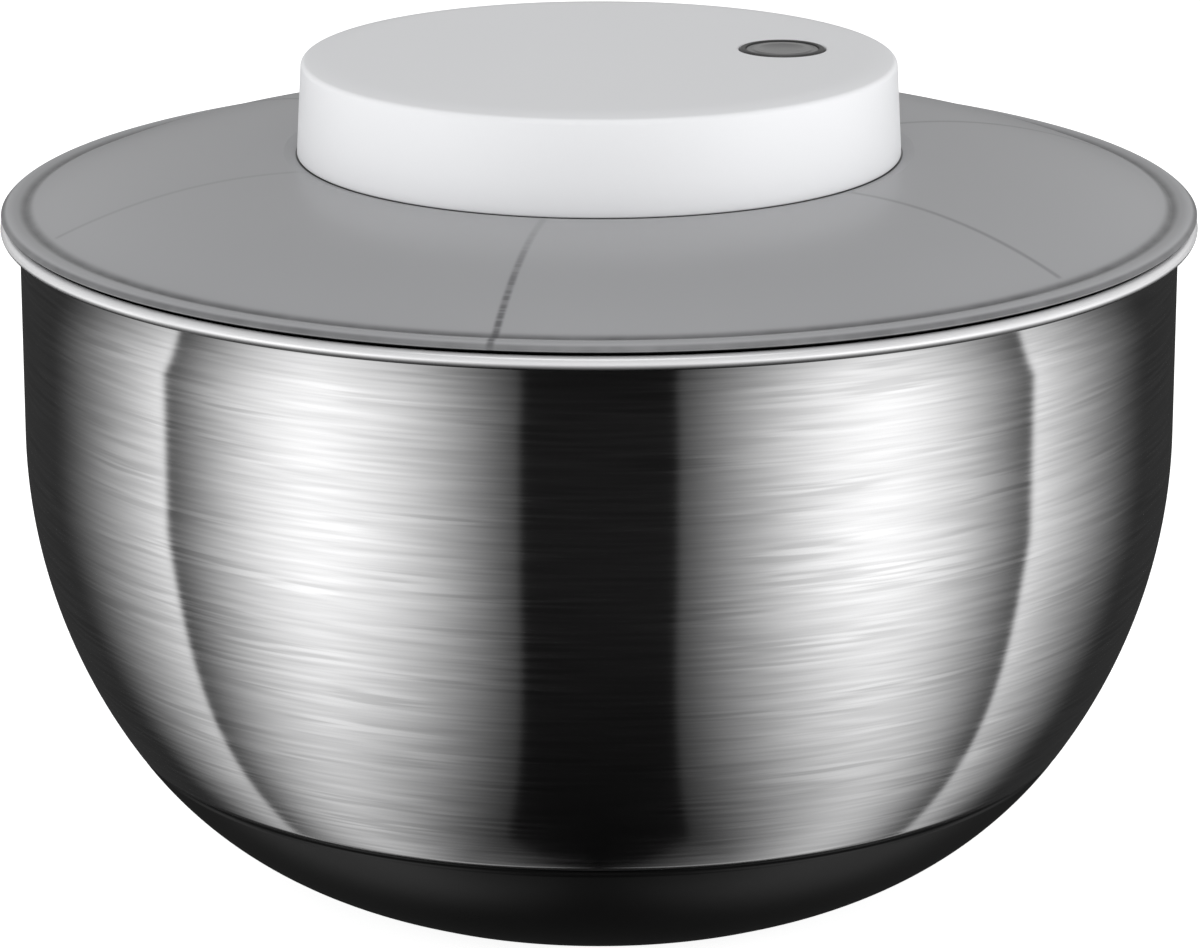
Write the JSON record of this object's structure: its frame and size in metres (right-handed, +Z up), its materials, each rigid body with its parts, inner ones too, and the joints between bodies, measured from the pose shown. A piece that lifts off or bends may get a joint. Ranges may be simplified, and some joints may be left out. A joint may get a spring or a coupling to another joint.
{
  "type": "salad spinner",
  "caption": "Hand-turned salad spinner: steel bowl with a black base boot, slotted basket, smoke-grey lid and a white turning drum with a pull-up crank knob.",
  "frame": {"origin": "centre of the flat foot, on the surface that the spinner stands on", "axes": "+Z up along the bowl's axis; the front, as pictured, faces -Y; the knob lies towards +X"},
  "size_m": [0.2598, 0.2598, 0.1812],
  "materials": {
    "brushed_bowl_steel": "brushed round the bowl, polished rim bead",
    "black_silicone": "satin",
    "bright_steel": "ground and plated",
    "natural_acetal": "smooth moulded",
    "black_acetal": "smooth moulded",
    "white_basket_plastic": "satin moulded",
    "smoke_frosted_plastic": "frosted, translucent",
    "grey_plastic": "satin moulded",
    "bush_bronze": "turned, oil-soaked",
    "white_drum_plastic": "fine satin",
    "dark_grey_plastic": "satin",
    "dark_insert_plastic": "satin, with turned rings"
  },
  "bodies": {
    "bowl": {"bowl_shell": "brushed_bowl_steel", "base_boot": "black_silicone", "pivot_pin": "bright_steel"},
    "pivot": {"pivot_thimble": "natural_acetal"},
    "basket": {"basket": "white_basket_plastic"},
    "lid": {"lid_shell": "smoke_frosted_plastic", "lid_seal": "black_silicone", "gear_housing": "grey_plastic", "housing_screws": "bright_steel", "floor_bush": "bush_bronze", "planet_pins": "bright_steel", "glide_ring": "black_acetal"},
    "planet_1": {"planet_gear_1": "natural_acetal"},
    "planet_2": {"planet_gear_2": "natural_acetal"},
    "planet_3": {"planet_gear_3": "natural_acetal"},
    "drive": {"drive_shaft": "bright_steel", "sun_gear": "natural_acetal", "shaft_clip": "bright_steel", "drive_plate": "grey_plastic", "plate_nut": "bright_steel"},
    "drum": {"drum_cap": "white_drum_plastic", "ring_gear": "natural_acetal", "ring_gear_screws": "bright_steel", "hub_bush": "bush_bronze", "knob_well_plug": "white_drum_plastic"},
    "knob_slide": {"knob_carrier": "dark_grey_plastic", "knob_screw": "bright_steel"},
    "knob": {"knob": "dark_grey_plastic", "knob_insert": "dark_insert_plastic"}
  },
  "joints": [
    {"name": "basket_lift", "type": "slide", "parent": "bowl", "child": "pivot", "axis": [0, 0, 1], "range_m": [0, 0.2]},
    {"name": "basket_spin", "type": "hinge", "parent": "pivot", "child": "basket", "pos_m": [0, 0, 0.013], "axis": [0, 0, 1], "continuous": true},
    {"name": "lid_lift", "type": "slide", "parent": "pivot", "child": "lid", "axis": [0, 0, 1], "range_m": [0, 0.14]},
    {"name": "drum_spin", "type": "hinge", "parent": "lid", "child": "drum", "pos_m": [0, 0, 0.165], "axis": [0, 0, 1], "continuous": true},
    {"name": "drive_spin", "type": "hinge", "parent": "lid", "child": "drive", "pos_m": [0, 0, 0.148], "axis": [0, 0, 1], "continuous": true},
    {"name": "planet_1_spin", "type": "hinge", "parent": "lid", "child": "planet_1", "pos_m": [0, 0.018, 0.153], "axis": [0, 0, 1], "continuous": true},
    {"name": "planet_2_spin", "type": "hinge", "parent": "lid", "child": "planet_2", "pos_m": [-0.01559, -0.009, 0.153], "axis": [0, 0, 1], "continuous": true},
    {"name": "planet_3_spin", "type": "hinge", "parent": "lid", "child": "planet_3", "pos_m": [0.01559, -0.009, 0.153], "axis": [0, 0, 1], "continuous": true},
    {"name": "knob_lift", "type": "slide", "parent": "drum", "child": "knob_slide", "axis": [0, 0, 1], "range_m": [0, 0.014]},
    {"name": "knob_spin", "type": "hinge", "parent": "knob_slide", "child": "knob", "pos_m": [0.03985, 0.00603, 0.172], "axis": [0, 0, 1], "continuous": true}
  ],
  "couplings": [
    {"joint": "drive_spin", "follows": "drum_spin", "ratio": -3.8},
    {"joint": "basket_spin", "follows": "drum_spin", "ratio": -3.8},
    {"joint": "planet_1_spin", "follows": "drum_spin", "ratio": 2.7143},
    {"joint": "planet_2_spin", "follows": "drum_spin", "ratio": 2.7143},
    {"joint": "planet_3_spin", "follows": "drum_spin", "ratio": 2.7143}
  ]
}
